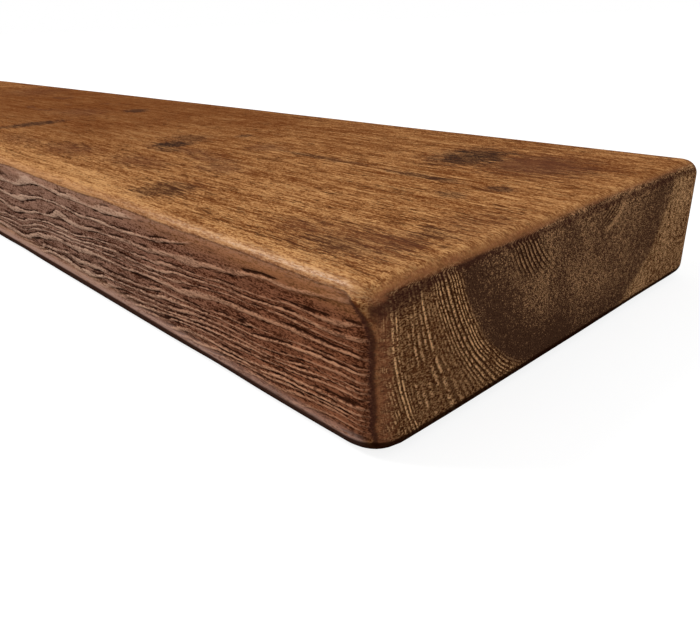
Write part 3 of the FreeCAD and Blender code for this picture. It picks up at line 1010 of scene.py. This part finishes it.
class ShelfBoardSettings(bpy.types.PropertyGroup):
    """Shape and stain of the board."""

    edge_round: length_setting("Edge rounding", "Radius sanded on the long and short edges", 5 * MM)
    corner_round: length_setting("Corner rounding", "Radius of the upright corners", 7 * MM)
    relief: length_setting("Brushed depth", "How deep the front's soft wood is brushed out", 0.38 * MM)
    ring_gap: length_setting("Year ring", "Mean width of a year ring", 0.92 * MM)
    heart_radius: length_setting("Heartwood", "Radius of the dark heartwood round the pith", 62 * MM)
    top_light: colour_setting("Top, light", "Stain on the planed faces", (0.325, 0.139, 0.047))
    top_brown: colour_setting("Top, brown", "Heavier stain on the planed faces", (0.12, 0.034, 0.009))
    top_gold: colour_setting("Top, gold", "Palest stain of the planed faces", (0.53, 0.275, 0.108))
    fibre_dark: colour_setting("Fibres", "Dark fibres in the planed faces", (0.055, 0.017, 0.006))
    mark_brown: colour_setting("Smudges", "Brown smudges on the top", (0.105, 0.039, 0.021))
    mark_dark: colour_setting("Knots", "Knots on the top", (0.022, 0.013, 0.01))
    front_valley: colour_setting("Front, soft wood", "Soft wood of the brushed front", (0.048, 0.012, 0.004))
    front_brown: colour_setting("Front, brown", "Paler soft wood of the front", (0.22, 0.08, 0.038))
    # Front colour under the painted grey sheen
    front_sheen_grey: colour_setting("Front, grey", "Greyer soft wood away from the end", (0.29, 0.155, 0.105))
    front_ridge: colour_setting("Front, ridges", "Hard wood of the front", (0.42, 0.21, 0.118))
    # Ridge colour under the painted grey sheen
    front_ridge_sheen_grey: colour_setting("Front, grey ridges", "Greyer hard wood", (0.48, 0.308, 0.215))
    front_low: colour_setting("Front, low strip", "Sanded strip along the front's foot", (0.37, 0.225, 0.178))
    # Also the colour of the painted shade along the foot
    crack_and_foot_shade: colour_setting("Cracks", "Torn cracks and the line along the foot", (0.019, 0.0046, 0.0016))
    end_heart: colour_setting("End, heartwood", "Heartwood of the end grain", (0.085, 0.039, 0.021))
    end_heart_light: colour_setting("End, heart specks", "Specks in that heartwood", (0.58, 0.31, 0.146))
    end_sap: colour_setting("End, sapwood", "Sapwood of the end grain", (0.13, 0.046, 0.016))
    end_sap_light: colour_setting("End, rings", "Ring lines in that sapwood", (0.84, 0.475, 0.222))
    edge_orange: colour_setting("Edges", "Sanded edges", (0.3, 0.11, 0.05))
    edge_brown: colour_setting("Edges, brown", "Darker stretches of the sanded edges", (0.13, 0.045, 0.022))
    # Colour of the painted shade at the upright corner, under its tip and under the rims
    seam: colour_setting("Seams", "Stain gathered at the corner and under the rim", (0.045, 0.014, 0.009))
    raw_light: colour_setting("Raw wood", "Unstained wood in the holes", (0.56, 0.37, 0.19))
    raw_dark: colour_setting("Raw wood, dark", "Grain of the unstained wood", (0.36, 0.20, 0.085))


class ShelfSteelSettings(bpy.types.PropertyGroup):
    """Finishes of the hidden supports."""

    zinc: colour_setting("Zinc", "Bright zinc plating", (0.4, 0.41, 0.42))
    zinc_warm: colour_setting("Zinc, warm", "Yellowish clouds in the plating", (0.43, 0.405, 0.34))
    zinc_dull: colour_setting("Zinc, dull", "Dulled patches", (0.24, 0.245, 0.25))
    oxide: colour_setting("Black oxide", "Blackened screws", (0.022, 0.022, 0.025))
    oxide_rubbed: colour_setting("Rubbed oxide", "Patches rubbed brighter", (0.09, 0.085, 0.08))


class ShelfStageSettings(bpy.types.PropertyGroup):
    """Floor, light and camera."""

    key_power: FloatProperty(
        name="Main lamp", description="Power of the large soft lamp", default=300, unit="POWER"
    )
    sky: FloatProperty(name="Sky", description="Level of the even light all round", default=0.7, min=0)
    floor: colour_setting("Floor", "Colour that the floor throws back on the board", (0.4, 0.4, 0.4))
    lens: FloatProperty(name="Lens", description="Focal length", default=33.89, unit="CAMERA")


# Operators

# Length of the lines in the zinc along x, y and z, in millimetres: on the plates and on the rods
PLATE_LINES = (14, 6, 0.25)
ROD_LINES = (0.3, 18, 0.3)


class SHELF_OT_board(bpy.types.Operator):
    """Make the brushed and stained board with its recesses and bores"""

    bl_idname = "shelf.board"
    bl_label = "Board"

    def execute(self, context):
        settings = context.scene.shelf_board
        board = bpy.data.objects.new("stained_board", BoardMesh(settings).build())
        context.scene.collection.objects.link(board)
        shaped(board, carve_tree(settings))
        board.data.materials.clear()
        board.data.materials.append(stained_pine(settings))
        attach(board, "board")
        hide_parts("shelf_board")
        return {"FINISHED"}


class SHELF_OT_plates(bpy.types.Operator):
    """Finish the three wall plates"""

    bl_idname = "shelf.plates"
    bl_label = "Wall plates"

    def execute(self, context):
        dress("support_plate_", zinc_plate(context.scene.shelf_steel, PLATE_LINES, "zinc_plate"))
        return {"FINISHED"}


class SHELF_OT_rods(bpy.types.Operator):
    """Finish the three support rods"""

    bl_idname = "shelf.rods"
    bl_label = "Support rods"

    def execute(self, context):
        dress("support_rod_", zinc_plate(context.scene.shelf_steel, ROD_LINES, "zinc_rod"))
        return {"FINISHED"}


class SHELF_OT_screws(bpy.types.Operator):
    """Finish the screws that hold the rods to their plates"""

    bl_idname = "shelf.screws"
    bl_label = "Rod screws"

    def execute(self, context):
        dress("rod_screw_", black_oxide(context.scene.shelf_steel))
        return {"FINISHED"}


# Camera: place in metres, then turn to the left, tilt down and roll, in degrees
CAMERA_PLACE = (0.53742, -0.25627, 0.07210)
CAMERA_TURN = 47.551
CAMERA_TILT = 23.726
CAMERA_ROLL = -2.115
SENSOR_WIDTH = 36
CLIP_START = 0.01
LAMP_AIM = Vector((0.20, -0.085, 0))
LAMP_WAY = Vector((-0.63, -0.41, 0.64))
LAMP_DISTANCE = 6
LAMP_SIZE = 1.83
# The floor: half its width, the gap under the board, and how it glows and takes shade where it is seen
FLOOR_HALF = 30
FLOOR_GAP = 0.3 * MM
FLOOR_GLOW = 0.84
FLOOR_SHADE = 0.26
WHITE = (1, 1, 1, 1)


class SHELF_OT_stage(bpy.types.Operator):
    """Make the floor, the light and the camera"""

    bl_idname = "shelf.stage"
    bl_label = "Stage"

    def execute(self, context):
        settings = context.scene.shelf_stage
        scene = context.scene
        scene.view_settings.view_transform = "Standard"
        self.floor(scene, settings)
        self.light(scene, settings)
        self.camera(scene, settings)
        return {"FINISHED"}

    def seen_directly(self, nodes):
        """1 for what the camera sees, also by way of a polished surface."""
        names = ("Is Camera Ray", "Is Glossy Ray", "Is Transmission Ray")
        camera, glossy, through = nodes.add("ShaderNodeLightPath", None, None, names)
        return most(most(camera, glossy), through)

    def floor(self, scene, settings):
        mesh = bpy.data.meshes.new("floor")
        sheet = bmesh.new()
        bmesh.ops.create_grid(sheet, x_segments=1, y_segments=1, size=FLOOR_HALF)
        bmesh.ops.translate(sheet, vec=(0, 0, BOARD_LOW.z - FLOOR_GAP), verts=sheet.verts)
        sheet.to_mesh(mesh)
        sheet.free()
        floor = bpy.data.objects.new("floor", mesh)
        scene.collection.objects.link(floor)
        material, nodes = new_finish("pale_floor")
        lit = nodes.add("ShaderNodeBsdfDiffuse", None, {"Color": (*settings.floor, 1)})
        glow = nodes.add("ShaderNodeEmission", None, {"Color": WHITE, "Strength": FLOOR_GLOW})
        shade = nodes.add("ShaderNodeBsdfDiffuse", None, {"Color": (FLOOR_SHADE,) * 3 + (1,)})
        white = nodes.add("ShaderNodeAddShader", None, {0: glow, 1: shade})
        surface = nodes.add("ShaderNodeMixShader", None, {0: self.seen_directly(nodes), 1: lit, 2: white})
        nodes.add("ShaderNodeOutputMaterial", None, {"Surface": surface})
        mesh.materials.append(material)

    def light(self, scene, settings):
        world = bpy.data.worlds.new("white_room")
        scene.world = world
        world.use_nodes = True
        world.node_tree.nodes.clear()
        nodes = Nodes(world.node_tree)
        level = self.seen_directly(nodes) * (1 - settings.sky) + settings.sky
        sky = nodes.add("ShaderNodeBackground", None, {"Color": WHITE, "Strength": level})
        nodes.add("ShaderNodeOutputWorld", None, {"Surface": sky})
        data = bpy.data.lights.new("main_lamp", "AREA")
        data.shape = "SQUARE"
        data.size = LAMP_SIZE
        data.energy = settings.key_power
        lamp = bpy.data.objects.new("main_lamp", data)
        way = LAMP_WAY.normalized()
        lamp.location = LAMP_AIM + way * LAMP_DISTANCE
        lamp.rotation_euler = way.to_track_quat("Z", "Y").to_euler()
        scene.collection.objects.link(lamp)

    def camera(self, scene, settings):
        data = bpy.data.cameras.new("camera")
        data.sensor_width = SENSOR_WIDTH
        data.lens = settings.lens
        data.clip_start = CLIP_START
        camera = bpy.data.objects.new("camera", data)
        turn = Matrix.Rotation(math.radians(CAMERA_TURN), 4, "Z")
        tilt = Matrix.Rotation(math.radians(90 - CAMERA_TILT), 4, "X")
        roll = Matrix.Rotation(math.radians(CAMERA_ROLL), 4, "Z")
        camera.matrix_world = Matrix.Translation(CAMERA_PLACE) @ turn @ tilt @ roll
        scene.collection.objects.link(camera)
        scene.camera = camera


class SHELF_PT_sidebar(bpy.types.Panel):
    """Lists the shelf's pieces and settings in the sidebar"""

    bl_idname = "SHELF_PT_sidebar"
    bl_label = "Rustic Floating Shelf"
    bl_space_type = "VIEW_3D"
    bl_region_type = "UI"
    bl_category = "Shelf"

    def draw(self, context):
        for key in GROUPS:
            group = getattr(context.scene, key)
            box = self.layout.box()
            for name in group.bl_rna.properties.keys():
                if name not in ("rna_type", "name"):
                    box.prop(group, name)
        for operator in OPERATORS:
            self.layout.operator(operator.bl_idname)


GROUPS = {
    "shelf_board": ShelfBoardSettings,
    "shelf_steel": ShelfSteelSettings,
    "shelf_stage": ShelfStageSettings,
}
OPERATORS = (SHELF_OT_board, SHELF_OT_plates, SHELF_OT_rods, SHELF_OT_screws, SHELF_OT_stage)
CLASSES = (*GROUPS.values(), *OPERATORS, SHELF_PT_sidebar)


def register():
    for kind in CLASSES:
        bpy.utils.register_class(kind)
    for name, group in GROUPS.items():
        setattr(bpy.types.Scene, name, PointerProperty(type=group))


def unregister():
    for name in GROUPS:
        delattr(bpy.types.Scene, name)
    for kind in reversed(CLASSES):
        bpy.utils.unregister_class(kind)


def main():
    register()
    bpy.ops.shelf.board()
    bpy.ops.shelf.plates()
    bpy.ops.shelf.rods()
    bpy.ops.shelf.screws()
    bpy.ops.shelf.stage()


if __name__ == "__main__":
    main()
